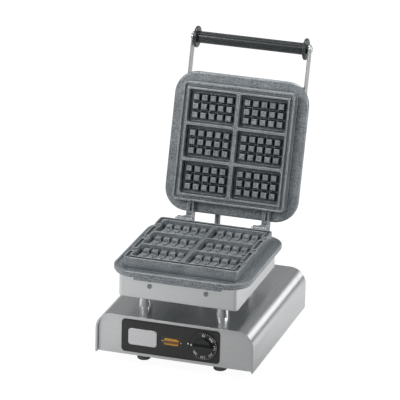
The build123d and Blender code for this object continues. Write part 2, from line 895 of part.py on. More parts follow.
thermostat_depth = 34
bush_length = 4
with BuildPart() as thermostat_body:
    with BuildSketch(across(panel_face + sheet)):
        with Locations((dial_x, dial_z)):
            RectangleRounded(46, 40, 4)
    extrude(amount=-thermostat_depth)
    with BuildSketch(across(panel_face + sheet)):
        with Locations((dial_x, dial_z)):
            Circle(bush_radius)
    extrude(amount=sheet + overlay_thickness)
    with BuildSketch(across(overlay_face)):
        with Locations((dial_x, dial_z)):
            Circle(shaft_radius + running_fit)
    extrude(amount=-20, mode=Mode.SUBTRACT)
thermostat_body.part.label = "thermostat_body"
export_step(thermostat_body.part, "parts/thermostat_body.step")

bulb_radius = 3
bulb_y = block_center_y + 26
with BuildPart() as thermostat_bulb:
    with BuildLine() as capillary_route:
        FilletPolyline(
            (dial_x, panel_face + sheet + thermostat_depth, dial_z),
            (dial_x, wire_hole_y, dial_z),
            (wire_tube_radius * 0.4, wire_hole_y, dial_z),
            (wire_tube_radius * 0.4, wire_hole_y, pan_low + 15),
            radius=8,
        )
    with BuildSketch(across(panel_face + sheet + thermostat_depth)):
        with Locations((dial_x, dial_z)):
            Circle(1)
    sweep()
    with BuildSketch(Plane.XY.offset(pan_low + 15)):
        with Locations((wire_tube_radius * 0.4, wire_hole_y)):
            Circle(bulb_radius)
    extrude(amount=flange_low - element_radius - clamp_thickness - 5 - pan_low - 15)
thermostat_bulb.part.label = "thermostat_bulb"
export_step(thermostat_bulb.part, "parts/thermostat_bulb.step")

block_x = -70
block_y = 60
poles = 4
pole_pitch = 12
with BuildPart() as terminal_block:
    with BuildSketch(Plane.XY.offset(floor_plate_z + sheet)):
        with Locations((block_x, block_y)):
            Rectangle(poles * pole_pitch + 4, 22)
    extrude(amount=12)
    with BuildSketch(Plane.XY.offset(floor_plate_z + sheet + 12)):
        with Locations((block_x, block_y)):
            with GridLocations(pole_pitch, 0, poles, 1):
                Rectangle(pole_pitch - 4, 12)
    extrude(amount=6)
terminal_block.part.label = "terminal_block"
export_step(terminal_block.part, "parts/terminal_block.step")

mains_gland_blank = cable_gland(4)
with BuildPart() as mains_gland:
    with Locations(facing(dial_x, rear_face, base_gland_z, (0, 1, 0))):
        add(mains_gland_blank)
mains_gland.part.label = "mains_gland"
export_step(mains_gland.part, "parts/mains_gland.step")

# Knob
knob_back = overlay_face - knob_gap
knob_front = knob_back - dial_skirt - hub_rise
with BuildPart() as thermostat_knob:
    with BuildSketch(across(knob_back)):
        with Locations((dial_x, dial_z)):
            Circle(dial_radius)
    extrude(amount=dial_skirt)
    chamfer(thermostat_knob.edges().group_by(Axis.Y)[0], 1.2)
    with BuildSketch(across(knob_back - dial_skirt)):
        with Locations((dial_x, dial_z)):
            Circle(hub_radius)
    extrude(amount=hub_rise, taper=8)
    with BuildSketch(across(knob_back - dial_skirt)):
        with Locations((dial_x, dial_z)):
            SlotOverall(bar_length, bar_width)
    extrude(amount=bar_rise, taper=6)
    fillet(thermostat_knob.edges().group_by(Axis.Y)[0], 1)
    with BuildSketch(across(knob_back)):
        with Locations((dial_x, dial_z)):
            Circle(shaft_radius)
    extrude(amount=10, mode=Mode.SUBTRACT)
thermostat_knob.part.label = "thermostat_knob"
export_step(thermostat_knob.part, "parts/thermostat_knob.step")

with BuildPart() as thermostat_shaft:
    with BuildSketch(across(overlay_face + 19)):
        with Locations((dial_x, dial_z)):
            Circle(shaft_radius)
    extrude(amount=19 + knob_gap + 10)
thermostat_shaft.part.label = "thermostat_shaft"
export_step(thermostat_shaft.part, "parts/thermostat_shaft.step")

# Lid
lid_seat_z = lid_flange_back_z - flange_thickness
bar_low = 2 * seam_z - rim_z + 8
bar_high = lid_seat_z + 8
with BuildPart() as upper_plate:
    mirror(upper_casting, about=seam)
    for hinge_x in hinge_xs:
        with BuildSketch(Plane.YZ.offset(hinge_x - tongue_width / 2)):
            with BuildLine():
                Polyline(
                    (block_back - 2, bar_low),
                    (hinge_y - tongue_radius, bar_low),
                    (hinge_y - tongue_radius, hinge_z),
                    (hinge_y + tongue_radius, hinge_z),
                    (hinge_y + tongue_radius, bar_high - 8),
                    (hinge_y + tongue_radius - 8, bar_high),
                    (block_back - 2, bar_high),
                    (block_back - 2, bar_low),
                )
            make_face()
            with Locations((hinge_y, hinge_z)):
                Circle(tongue_radius)
                Circle(pin_radius + running_fit, mode=Mode.SUBTRACT)
        extrude(amount=tongue_width)
        with BuildSketch(Plane.XY.offset(bar_low)):
            with Locations((hinge_x + tongue_width * 0.15, (block_back + flange_back) / 2)):
                Rectangle(tongue_width * 0.35, flange_back - block_back - 8)
        extrude(amount=4, mode=Mode.SUBTRACT)
upper_plate.part = swing_open(upper_plate.part)
upper_plate.part.label = "upper_plate"
export_step(upper_plate.part, "parts/upper_plate.step")

arm_screw_ys = (pan_front + arm_front_screw, pan_back - arm_back_screw)
arm_screw_hole = 2.5
lid_gland_z = lid_flange_back_z + lid_gland_height
with BuildPart() as upper_cover:
    mirror(pan_blank, about=seam)
    for y in arm_screw_ys:
        with Locations(facing(0, y, arm_z, (1, 0, 0))):
            Cylinder(arm_screw_hole, pan_width + 2, mode=Mode.SUBTRACT)
    with Locations(facing(lid_hose_x, pan_back, lid_gland_z, (0, 1, 0))):
        Cylinder(gland_radius * 0.75 + 0.1, 10, mode=Mode.SUBTRACT)
upper_cover.part = swing_open(upper_cover.part)
upper_cover.part.label = "upper_cover"
export_step(upper_cover.part, "parts/upper_cover.step")

with BuildPart() as upper_heater:
    mirror(element_blank, about=seam)
upper_heater.part = swing_open(upper_heater.part)
upper_heater.part.label = "upper_heater"
export_step(upper_heater.part, "parts/upper_heater.step")

with BuildPart() as upper_heater_clamp:
    mirror(clamp_blank, about=seam)
upper_heater_clamp.part = swing_open(upper_heater_clamp.part)
upper_heater_clamp.part.label = "upper_heater_clamp"
export_step(upper_heater_clamp.part, "parts/upper_heater_clamp.step")

with BuildPart() as upper_clamp_bolts:
    mirror(clamp_bolts_blank, about=seam)
upper_clamp_bolts.part = swing_open(upper_clamp_bolts.part)
upper_clamp_bolts.part.label = "upper_clamp_bolts"
export_step(upper_clamp_bolts.part, "parts/upper_clamp_bolts.step")

arm_nut_height = 4
with BuildPart() as upper_insulation:
    mirror(slab_blank, about=seam)
    for side in (-1, 1):
        for y in arm_screw_ys:
            with Locations((side * pan_width / 2, y, arm_z)):
                Box(30, 16, 14, mode=Mode.SUBTRACT)
    with Locations((lid_hose_x, pan_back, lid_gland_z)):
        Box(3 * gland_radius, 40, 3 * gland_radius, mode=Mode.SUBTRACT)
upper_insulation.part = swing_open(upper_insulation.part)
upper_insulation.part.label = "upper_insulation"
export_step(upper_insulation.part, "parts/upper_insulation.step")

# Handle
arm_inner_x = pan_width / 2
arm_outer_x = arm_inner_x + arm_thickness
arm_span = arm_screw_ys[1] - grip_y
for label, side in (("handle_arm_left", -1), ("handle_arm_right", 1)):
    with BuildPart() as arm:
        with BuildSketch(Plane.YZ.offset(arm_inner_x if side > 0 else -arm_outer_x)):
            with Locations(((arm_screw_ys[1] + grip_y) / 2, arm_z)):
                SlotCenterToCenter(arm_span, arm_width)
            with Locations(*[(y, arm_z) for y in (*arm_screw_ys, grip_y)]):
                Circle(arm_screw_hole, mode=Mode.SUBTRACT)
        extrude(amount=arm_thickness)
        chamfer(arm.faces().sort_by(Axis.X)[-1 if side > 0 else 0].outer_wire().edges(), 0.5)
    arm.part = swing_open(arm.part)
    arm.part.label = label
    export_step(arm.part, f"parts/{label}.step")

arm_screw = pan_screw(arm_screw_hole, arm_thickness + sheet + arm_nut_height, 5, 3)
with BuildPart() as arm_screws:
    for side in (-1, 1):
        for y in arm_screw_ys:
            with Locations(facing(side * arm_outer_x, y, arm_z, (side, 0, 0))):
                add(arm_screw)
arm_screws.part = swing_open(arm_screws.part)
arm_screws.part.label = "arm_screws"
export_step(arm_screws.part, "parts/arm_screws.step")

arm_nut = hex_nut(arm_screw_hole, 8, arm_nut_height)
with BuildPart() as arm_nuts:
    for side in (-1, 1):
        for y in arm_screw_ys:
            with Locations(facing(side * (arm_inner_x - sheet), y, arm_z, (-side, 0, 0))):
                add(arm_nut)
arm_nuts.part = swing_open(arm_nuts.part)
arm_nuts.part.label = "arm_nuts"
export_step(arm_nuts.part, "parts/arm_nuts.step")

disc_inner_x = arm_inner_x - disc_boss - disc_thickness
with BuildPart() as grip_tube:
    with BuildSketch(Plane.YZ.offset(-disc_inner_x)):
        with Locations((grip_y, arm_z)):
            Circle(grip_radius)
            with PolarLocations(grip_radius, grip_flutes):
                Circle(flute_radius, mode=Mode.SUBTRACT)
            Circle(rod_radius, mode=Mode.SUBTRACT)
    extrude(amount=2 * disc_inner_x)
grip_tube.part = swing_open(grip_tube.part)
grip_tube.part.label = "grip_tube"
export_step(grip_tube.part, "parts/grip_tube.step")

for label, side in (("grip_disc_left", -1), ("grip_disc_right", 1)):
    with BuildPart() as disc:
        with BuildSketch(Plane.YZ.offset(side * disc_inner_x)):
            with Locations((grip_y, arm_z)):
                Circle(disc_radius)
        extrude(amount=side * disc_thickness)
        fillet(disc.edges().filter_by(GeomType.CIRCLE), 1.5)
        with BuildSketch(Plane.YZ.offset(side * (disc_inner_x + disc_thickness))):
            with Locations((grip_y, arm_z)):
                Circle(boss_radius)
        extrude(amount=side * disc_boss)
        with BuildSketch(Plane.YZ.offset(side * disc_inner_x)):
            with Locations((grip_y, arm_z)):
                Circle(rod_radius)
        extrude(amount=side * (disc_thickness + disc_boss), mode=Mode.SUBTRACT)
    disc.part = swing_open(disc.part)
    disc.part.label = label
    export_step(disc.part, f"parts/{label}.step")

grip_screw_length = 22
with BuildPart() as grip_rod:
    with BuildSketch(Plane.YZ.offset(-arm_inner_x)):
        with Locations((grip_y, arm_z)):
            Circle(rod_radius)
    extrude(amount=2 * arm_inner_x)
    for side in (-1, 1):
        with BuildSketch(Plane.YZ.offset(side * arm_inner_x)):
            with Locations((grip_y, arm_z)):
                Circle(arm_screw_hole)
        extrude(amount=-side * grip_screw_length, mode=Mode.SUBTRACT)
grip_rod.part = swing_open(grip_rod.part)
grip_rod.part.label = "grip_rod"
export_step(grip_rod.part, "parts/grip_rod.step")

grip_screw = pan_screw(arm_screw_hole, arm_thickness + grip_screw_length, 6, 3.4)
with BuildPart() as grip_screws:
    for side in (-1, 1):
        with Locations(facing(side * arm_outer_x, grip_y, arm_z, (side, 0, 0))):
            add(grip_screw)
grip_screws.part = swing_open(grip_screws.part)
grip_screws.part.label = "grip_screws"
export_step(grip_screws.part, "parts/grip_screws.step")

# Conduit
hose_gland_blank = cable_gland(hose_radius)
with BuildPart() as base_hose_gland:
    with Locations(facing(base_hose_x, rear_face, base_gland_z, (0, 1, 0))):
        add(hose_gland_blank)
base_hose_gland.part.label = "base_hose_gland"
export_step(base_hose_gland.part, "parts/base_hose_gland.step")

with BuildPart() as lid_hose_gland:
    with Locations(facing(lid_hose_x, pan_back, lid_gland_z, (0, 1, 0))):
        add(hose_gland_blank)
lid_hose_gland.part = swing_open(lid_hose_gland.part)
lid_hose_gland.part.label = "lid_hose_gland"
export_step(lid_hose_gland.part, "parts/lid_hose_gland.step")

# The hose's route: straight out of each gland, with a hanging loop behind the base between them
hose_straight = gland_length + 6
hose_start = swung(pan_back + 1 - hinge_y, lid_gland_z - hinge_z)
hose_mouth = swung(pan_back + hose_straight - hinge_y, lid_gland_z - hinge_z)
hose_heading = (
    (hose_start[0] - hose_mouth[0]) / (hose_straight - 1),
    (hose_start[1] - hose_mouth[1]) / (hose_straight - 1),
)
hose_drift = (base_hose_x - lid_hose_x) / 12
with BuildPart() as conduit_hose:
    with BuildLine() as hose_route:
        Line(
            (base_hose_x, rear_face + 1, base_gland_z),
            (base_hose_x, rear_face + hose_straight, base_gland_z),
        )
        Bezier(
            (base_hose_x, rear_face + hose_straight, base_gland_z),
            (base_hose_x, rear_face + hose_straight + hose_bend, base_gland_z),
            (base_hose_x - hose_drift, rear_face + 4.26 * hose_bend, base_gland_z - 1.71 * hose_bend),
            (base_hose_x - 6 * hose_drift, rear_face + 2.38 * hose_bend, base_gland_z + 3.64 * hose_bend),
            (lid_hose_x + hose_drift, rear_face + 3.21 * hose_bend, base_gland_z + 1.1 * hose_bend),
            (
                lid_hose_x,
                hose_mouth[0] - 1.83 * hose_bend * hose_heading[0],
                hose_mouth[1] - 1.83 * hose_bend * hose_heading[1],
            ),
            (lid_hose_x, *hose_mouth),
        )
        Line((lid_hose_x, *hose_mouth), (lid_hose_x, *hose_start))
    hose_end = Plane(origin=(base_hose_x, rear_face + 1, base_gland_z), z_dir=(0, 1, 0))
    with BuildSketch(hose_end):
        Circle(hose_radius - 0.1)
    sweep(path=hose_route.wires()[0])
    with BuildSketch(hose_end):
        Circle(hose_bore)
    sweep(path=hose_route.wires()[0], mode=Mode.SUBTRACT)
conduit_hose.part.label = "conduit_hose"
export_step(conduit_hose.part, "parts/conduit_hose.step")
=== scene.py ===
import math

import bmesh
import bpy
from mathutils import Matrix, Vector


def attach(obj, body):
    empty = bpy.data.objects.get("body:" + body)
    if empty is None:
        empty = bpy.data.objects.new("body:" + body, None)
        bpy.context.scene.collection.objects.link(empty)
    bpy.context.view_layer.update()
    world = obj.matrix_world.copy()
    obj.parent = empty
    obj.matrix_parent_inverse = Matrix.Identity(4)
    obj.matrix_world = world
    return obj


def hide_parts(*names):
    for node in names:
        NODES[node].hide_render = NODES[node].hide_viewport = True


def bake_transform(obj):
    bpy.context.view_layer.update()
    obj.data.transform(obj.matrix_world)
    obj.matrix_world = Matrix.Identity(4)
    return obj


# Waffle on a stick maker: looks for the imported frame. Metres, X right, -Y front, Z up.
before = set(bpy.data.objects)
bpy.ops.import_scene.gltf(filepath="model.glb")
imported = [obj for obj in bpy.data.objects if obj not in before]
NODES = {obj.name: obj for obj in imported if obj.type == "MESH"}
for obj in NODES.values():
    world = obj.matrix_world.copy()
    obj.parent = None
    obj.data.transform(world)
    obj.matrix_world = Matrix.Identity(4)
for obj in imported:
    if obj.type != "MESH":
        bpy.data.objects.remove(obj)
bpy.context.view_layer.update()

# Camera, solved from the photograph: place, heading, downward tilt, roll and lens
CAMERA_PLACE = (1.79285, -5.88466, 2.53926)
CAMERA_HEADING = math.radians(17.0412)
CAMERA_TILT = math.radians(20.0423)
CAMERA_ROLL = math.radians(1.4619)
SENSOR = 36.0
LENS = 301.55

# Sizes that this scene shares with the part
OVERLAY_FACE = -0.1766
DIAL_X = 0.058
DIAL_Z = 0.064
DIAL_SKIRT = 0.003
KNOB_GAP = 0.0004
LAMP_X = -0.007
LAMP_Z = 0.0625
LAMP_LENGTH = 0.0335
HOSE_RADIUS = 0.006

# Cosines between true and bevelled normal where a casting's painted edge highlight is full and where
# it ends
EDGE_FULL = 0.80
EDGE_NONE = 0.985

# Print on the dial and the overlay
PRINT_THICKNESS = 0.00012
NUMBER_RADIUS = 0.0217
NUMBER_SIZE = 0.0068
TICK_OUTER = 0.0272
TICK_INNER = 0.0259
LONG_TICK_INNER = 0.0250
TICK_WIDTH = 0.0007
TICKS_PER_NUMBER = 5
OFF_DOT_RADIUS = 0.0243
OVERLAY_DOT_RADIUS = 0.0316
LAMP_FRAME_GAP = 0.0024
LAMP_FRAME_HALF_HEIGHT = 0.0088
LAMP_FRAME_LINE = 0.0004
LAMP_FRAME_OPENING = 0.002


# Camera
def make_camera():
    """The photograph's camera."""
    heading, tilt, roll = CAMERA_HEADING, CAMERA_TILT, CAMERA_ROLL
    forward = Vector((
        -math.sin(heading) * math.cos(tilt),
        math.cos(heading) * math.cos(tilt),
        -math.sin(tilt),
    ))
    level = Vector((math.cos(heading), math.sin(heading), 0.0))
    above = level.cross(forward)
    right = math.cos(roll) * level + math.sin(roll) * above
    up = -math.sin(roll) * level + math.cos(roll) * above
    data = bpy.data.cameras.new("camera")
    data.lens = LENS
    data.sensor_width = SENSOR
    data.clip_end = 50
    data.dof.use_dof = False
    camera = bpy.data.objects.new("camera", data)
    bpy.context.scene.collection.objects.link(camera)
    turn = Matrix((right, up, -forward)).transposed().to_4x4()
    camera.matrix_world = Matrix.Translation(CAMERA_PLACE) @ turn
    bpy.context.scene.camera = camera


# Materials
class Shade:
    """A principled material with short calls for its procedural inputs, in object coordinates."""

    def __init__(self, name, **values):
        self.material = bpy.data.materials.new(name)
        self.material.use_nodes = True
        self.tree = self.material.node_tree
        self.shader = self.tree.nodes["Principled BSDF"]
        self.coordinates = self.tree.nodes.new("ShaderNodeTexCoord").outputs["Object"]
        for key, value in values.items():
            self.shader.inputs[key.replace("_", " ")].default_value = value

    def node(self, kind, **values):
        made = self.tree.nodes.new(kind)
        for key, value in values.items():
            if hasattr(made, key):
                setattr(made, key, value)
            else:
                made.inputs[key.replace("_", " ")].default_value = value
        return made

    def link(self, source, target):
        self.tree.links.new(source, target)

    def stretched(self, scale, lean=0.0):
        """Object coordinates scaled apart along X, Y and Z, after a turn about X by the lean."""
        turn = self.node("ShaderNodeVectorRotate", rotation_type="X_AXIS")
        turn.inputs["Angle"].default_value = lean
        mapping = self.node("ShaderNodeMapping")
        mapping.inputs["Scale"].default_value = scale
        self.link(self.coordinates, turn.inputs["Vector"])
        self.link(turn.outputs["Vector"], mapping.inputs["Vector"])
        return mapping.outputs["Vector"]

    def noise(self, scale, detail=3.0, vector=None):
        made = self.node("ShaderNodeTexNoise", Scale=scale, Detail=detail)
        self.link(vector or self.coordinates, made.inputs["Vector"])
        return made.outputs["Fac"]

    def ramp(self, source, low, high, start=0.3, end=0.7):
        """The source remapped: start gives low, end gives high."""
        made = self.node("ShaderNodeMapRange")
        made.inputs["From Min"].default_value = start
        made.inputs["From Max"].default_value = end
        made.inputs["To Min"].default_value = low
        made.inputs["To Max"].default_value = high
        self.link(source, made.inputs["Value"])
        return made.outputs["Result"]

    def tint(self, source, dark, light, start=0.3, end=0.7):
        """A colour that runs from dark to light with the source."""
        made = self.node("ShaderNodeValToRGB")
        made.color_ramp.elements[0].position = start
        made.color_ramp.elements[0].color = (*dark, 1)
        made.color_ramp.elements[1].position = end
        made.color_ramp.elements[1].color = (*light, 1)
        self.link(source, made.inputs["Fac"])
        self.link(made.outputs["Color"], self.shader.inputs["Base Color"])
        return made.outputs["Color"]

    def roughen(self, source, low, high):
        self.link(self.ramp(source, low, high), self.shader.inputs["Roughness"])

    def worn_edges(self, color, light, radius):
        """The colour, lightened where the bevelled normal leaves the true one, at corners: a painted
        highlight on the rounded edges.
        """
        bevel = self.node("ShaderNodeBevel", samples=6)
        bevel.inputs["Radius"].default_value = radius
        true = self.node("ShaderNodeNewGeometry")
        dot = self.node("ShaderNodeVectorMath", operation="DOT_PRODUCT")
        self.link(bevel.outputs["Normal"], dot.inputs[0])
        self.link(true.outputs["Normal"], dot.inputs[1])
        edge = self.ramp(dot.outputs["Value"], 1.0, 0.0, EDGE_FULL, EDGE_NONE)
        mix = self.node("ShaderNodeMix", data_type="RGBA")
        mix.inputs[7].default_value = (*light, 1)
        self.link(edge, mix.inputs[0])
        self.link(color, mix.inputs[6])
        self.link(mix.outputs[2], self.shader.inputs["Base Color"])

    def darkened_hollows(self, color, dark, reach):
        """Painted shade: the colour, falling to dark where walls stand close round the place."""
        shade_mask = self.node("ShaderNodeAmbientOcclusion", samples=6)
        shade_mask.inputs["Distance"].default_value = reach
        mix = self.node("ShaderNodeMix", data_type="RGBA")
        mix.inputs[7].default_value = (*dark, 1)
        self.link(self.ramp(shade_mask.outputs["AO"], 1.0, 0.0, 0.35, 0.85), mix.inputs[0])
        self.link(color, mix.inputs[6])
        return mix.outputs[2]

    def bump(self, source, strength, distance, rounding=0.0):
        """Relief from the source, over edges rounded by a bevel of that radius."""
        made = self.node("ShaderNodeBump")
        made.inputs["Strength"].default_value = strength
        made.inputs["Distance"].default_value = distance
        self.link(source, made.inputs["Height"])
        if rounding:
            bevel = self.node("ShaderNodeBevel", samples=4)
            bevel.inputs["Radius"].default_value = rounding
            self.link(bevel.outputs["Normal"], made.inputs["Normal"])
        self.link(made.outputs["Normal"], self.shader.inputs["Normal"])


def brushed_steel(name, grain, color, rough, streak=0.07, lean=0.0):
    """Satin stainless sheet, its grain stretched along the axis where the scale is smallest."""
    shade = Shade(name, Metallic=1.0)
    lines = shade.noise(1.0, 4.0, shade.stretched(grain, lean))
    dark = tuple(c * (1 - 2 * streak) for c in color)
    shade.tint(lines, dark, tuple(c * (1 + streak) for c in color), 0.35, 0.65)
    shade.roughen(lines, *rough)
    shade.bump(lines, 0.04, 0.0002, rounding=0.0006)
    return shade.material


def polished_steel(name):
    shade = Shade(name, Metallic=1.0)
    cloud = shade.noise(60.0, 3.0)
    shade.tint(cloud, (0.74, 0.745, 0.75), (0.82, 0.82, 0.83))
    shade.roughen(cloud, 0.07, 0.12)
    shade.bump(shade.noise(900.0), 0.02, 0.0001, rounding=0.0004)
    return shade.material


def cast_metal(name):
    """Bare cast plate: bluish grey with a coarse speckle, painted shade in its hollows and a painted
    highlight on its edges.
    """
    shade = Shade(name, Metallic=0.6)
    speckle = shade.noise(620.0, 2.0)
    cloud = shade.noise(30.0, 3.0)
    part = shade.node("ShaderNodeMath", operation="MULTIPLY")
    shade.link(speckle, part.inputs[0])
    part.inputs[1].default_value = 0.85
    mixed = shade.node("ShaderNodeMath", operation="MULTIPLY_ADD")
    shade.link(cloud, mixed.inputs[0])
    mixed.inputs[1].default_value = 0.15
    shade.link(part.outputs[0], mixed.inputs[2])
    body = shade.tint(mixed.outputs[0], (0.048, 0.056, 0.062), (0.44, 0.475, 0.50), 0.34, 0.66)
    # Painted shade: darker colour in the hollows between the pegs
    hollow_shade = shade.darkened_hollows(body, (0.046, 0.056, 0.064), 0.009)
    # Painted highlight: the edges lightened to stand for their glint
    shade.worn_edges(hollow_shade, (0.82, 0.85, 0.87), 0.0014)
    shade.roughen(speckle, 0.28, 0.42)
    shade.bump(speckle, 0.55, 0.0005, rounding=0.0008)
    return shade.material


def moulded(name, color, rough, relief=0.08, grain=700.0, coat=0.0):
    """A moulded plastic or rubber with a fine surface grain."""
    shade = Shade(name, Metallic=0.0)
    fine = shade.noise(grain, 3.0)
    cloud = shade.noise(30.0, 2.0)
    shade.tint(cloud, tuple(c * 0.85 for c in color), color)
    shade.roughen(fine, rough * 0.88, rough * 1.12)
    shade.bump(fine, relief, 0.0002, rounding=0.0004)
    shade.shader.inputs["Coat Weight"].default_value = coat
    return shade.material


def amber_lens(name):
    """A ribbed amber lens with the dark lamp behind its middle."""
    shade = Shade(name, Metallic=0.0)
    split = shade.node("ShaderNodeSeparateXYZ")
    shade.link(shade.coordinates, split.inputs["Vector"])
    middle = shade.node("ShaderNodeMath", operation="SUBTRACT")
    shade.link(split.outputs["Z"], middle.inputs[0])
    middle.inputs[1].default_value = LAMP_Z
    away = shade.node("ShaderNodeMath", operation="ABSOLUTE")
    shade.link(middle.outputs[0], away.inputs[0])
    ribs = shade.noise(420.0, 1.0, shade.stretched((1.0, 0.1, 0.1)))
    ragged = shade.node("ShaderNodeMath", operation="MULTIPLY_ADD")
    shade.link(ribs, ragged.inputs[0])
    ragged.inputs[1].default_value = 0.0028
    shade.link(away.outputs[0], ragged.inputs[2])
    shade.tint(
        shade.ramp(ragged.outputs[0], 0.0, 1.0, 0.0022, 0.0058),
        (0.10, 0.045, 0.006),
        (0.52, 0.25, 0.025),
        0.0,
        1.0,
    )
    shade.roughen(ribs, 0.15, 0.25)
    shade.bump(ribs, 0.15, 0.0003)
    shade.shader.inputs["Coat Weight"].default_value = 0.4
    return shade.material


def printed_white(name):
    shade = Shade(name, Metallic=0.0)
    fine = shade.noise(900.0, 2.0)
    shade.tint(fine, (0.75, 0.75, 0.74), (0.88, 0.88, 0.87))
    shade.roughen(fine, 0.42, 0.52)
    return shade.material


def wool_felt(name):
    shade = Shade(name, Metallic=0.0)
    fibres = shade.noise(220.0, 8.0)
    shade.tint(fibres, (0.62, 0.6, 0.55), (0.86, 0.85, 0.8))
    shade.roughen(fibres, 0.85, 0.98)
    shade.bump(fibres, 0.6, 0.001)
    return shade.material


def copper(name):
    shade = Shade(name, Metallic=1.0)
    cloud = shade.noise(120.0, 3.0)
    shade.tint(cloud, (0.6, 0.33, 0.2), (0.78, 0.47, 0.3))
    shade.roughen(cloud, 0.25, 0.4)
    return shade.material


GRAIN_X = (4.0, 800.0, 800.0)
GRAIN_Y = (800.0, 4.0, 800.0)
GRAIN_Z = (800.0, 800.0, 4.0)
LID_LEAN = math.radians(15.6)
LOOKS = {
    "cover_steel": brushed_steel("cover_steel", GRAIN_Y, (0.64, 0.655, 0.66), (0.27, 0.34), 0.04),
    "sheet_steel": brushed_steel("sheet_steel", GRAIN_X, (0.68, 0.695, 0.70), (0.36, 0.42), 0.015),
    "lid_steel": brushed_steel(
        "lid_steel", GRAIN_X, (0.66, 0.675, 0.68), (0.32, 0.38), 0.02, LID_LEAN
    ),
    "arm_steel": brushed_steel(
        "arm_steel", GRAIN_Z, (0.52, 0.53, 0.535), (0.24, 0.32), 0.03, LID_LEAN
    ),
    "polished": polished_steel("polished"),
    "fastener": brushed_steel("fastener", (300.0, 300.0, 300.0), (0.66, 0.66, 0.66), (0.18, 0.3)),
    "hinge_steel": brushed_steel("hinge_steel", (300.0, 300.0, 300.0), (0.3, 0.31, 0.32), (0.25, 0.4)),
    "galvanised": brushed_steel("galvanised", (60.0, 60.0, 60.0), (0.5, 0.52, 0.53), (0.35, 0.55)),
    "casting": cast_metal("casting"),
    "sheath": brushed_steel("sheath", (400.0, 400.0, 400.0), (0.3, 0.28, 0.27), (0.4, 0.6)),
    "wool": wool_felt("wool"),
    "foot_rubber": moulded("foot_rubber", (0.27, 0.30, 0.30), 0.5, 0.15),
    "overlay_black": moulded("overlay_black", (0.030, 0.030, 0.029), 0.45, 0.05, 1200.0),
    "badge": brushed_steel("badge", (6.0, 900.0, 900.0), (0.74, 0.74, 0.76), (0.24, 0.32), 0.03),
    "amber": amber_lens("amber"),
    "knob_black": moulded("knob_black", (0.010, 0.011, 0.012), 0.24, 0.04, 900.0, 0.4),
    "grip_black": moulded("grip_black", (0.020, 0.026, 0.029), 0.34, 0.08, 900.0, 0.2),
    "phenolic": moulded("phenolic", (0.02, 0.02, 0.02), 0.5),
    "white_plastic": moulded("white_plastic", (0.8, 0.79, 0.76), 0.45),
    "print_white": printed_white("print_white"),
    "print_grey": moulded("print_grey", (0.25, 0.25, 0.25), 0.5),
    "copper": copper("copper"),
    "nickel": brushed_steel("nickel", (300.0, 300.0, 300.0), (0.45, 0.45, 0.44), (0.2, 0.3)),
    "conduit": brushed_steel("conduit", (200.0, 200.0, 200.0), (0.22, 0.24, 0.25), (0.25, 0.4)),
}

NODE_LOOKS = {
    "cover_steel": ["base_cover"],
    "sheet_steel": ["base_front_panel", "base_back_panel", "lower_skirt"],
    "lid_steel": ["upper_cover"],
    "arm_steel": ["handle_arm_left", "handle_arm_right"],
    "polished": ["standoff_cones", "wire_tube"],
    "fastener": [
        "bottom_screws", "foot_screws", "foot_nuts", "standoff_bolts", "standoff_nuts",
        "lower_clamp_bolts", "upper_clamp_bolts", "thermostat_shaft",
        "arm_screws", "arm_nuts", "grip_rod", "grip_screws",
    ],
    # The skirt screws wear the darker hinge steel partly as painted shade, for the shadowed rings
    # round their heads
    "hinge_steel": ["hinge_pins", "hinge_nuts", "skirt_screws"],
    "galvanised": ["base_bottom_plate", "lower_heater_clamp", "upper_heater_clamp"],
    "casting": ["lower_plate", "upper_plate"],
    "sheath": ["lower_heater", "upper_heater"],
    "wool": ["lower_insulation", "upper_insulation"],
    "foot_rubber": ["rubber_feet"],
    "overlay_black": ["control_overlay"],
    "badge": ["badge_plate"],
    "amber": ["pilot_lamp_lens"],
    "knob_black": ["thermostat_knob"],
    "grip_black": ["grip_tube", "grip_disc_left", "grip_disc_right"],
    "phenolic": ["thermostat_body", "mains_gland"],
    "white_plastic": ["pilot_lamp_body", "terminal_block"],
    "copper": ["thermostat_bulb"],
    "nickel": ["base_hose_gland", "lid_hose_gland"],
    "conduit": ["conduit_hose"],
}


def dress_nodes():
    """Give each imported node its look."""
    for look, names in NODE_LOOKS.items():
        for name in names:
            node = NODES[name]
            node.data.materials.clear()
            node.data.materials.append(LOOKS[look])


# Small printed marks
def link_mesh(name, mesh, look, body):
    made = bpy.data.objects.new(name, mesh)
    bpy.context.scene.collection.objects.link(made)
    made.data.materials.clear()
    made.data.materials.append(LOOKS[look])
    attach(made, body)
    return made


def flat_marks(name, outlines, y, look, body):
    """Thin raised marks that face the front, from closed outlines of (x, z) points."""
    mesh = bmesh.new()
    for outline in outlines:
        front = [mesh.verts.new((x, y - PRINT_THICKNESS, z)) for x, z in outline]
        back = [mesh.verts.new((x, y, z)) for x, z in outline]
        mesh.faces.new(front)
        mesh.faces.new(reversed(back))
        count = len(outline)
        for i in range(count):
            j = (i + 1) % count
            mesh.faces.new((front[j], front[i], back[i], back[j]))
    bmesh.ops.recalc_face_normals(mesh, faces=mesh.faces)
    data = bpy.data.meshes.new(name)
    mesh.to_mesh(data)
    mesh.free()
    return link_mesh(name, data, look, body)


def disc(x, z, radius, sides=20):
    """The outline of a dot."""
    turns = [2 * math.pi * i / sides for i in range(sides)]
    return [(x + radius * math.cos(t), z + radius * math.sin(t)) for t in turns]


def dial_place(angle, radius):
    """A place on the dial's face, the angle counted clockwise from its top."""
    return (DIAL_X + radius * math.sin(angle), DIAL_Z + radius * math.cos(angle))


def tick(angle, inner, outer, width):
    """The outline of a stroke that points at the dial's middle."""
    across = (math.cos(angle) * width / 2, -math.sin(angle) * width / 2)
    a = dial_place(angle, inner)
    b = dial_place(angle, outer)
    return [
        (a[0] - across[0], a[1] - across[1]),
        (b[0] - across[0], b[1] - across[1]),
        (b[0] + across[0], b[1] + across[1]),
        (a[0] + across[0], a[1] + across[1]),
    ]


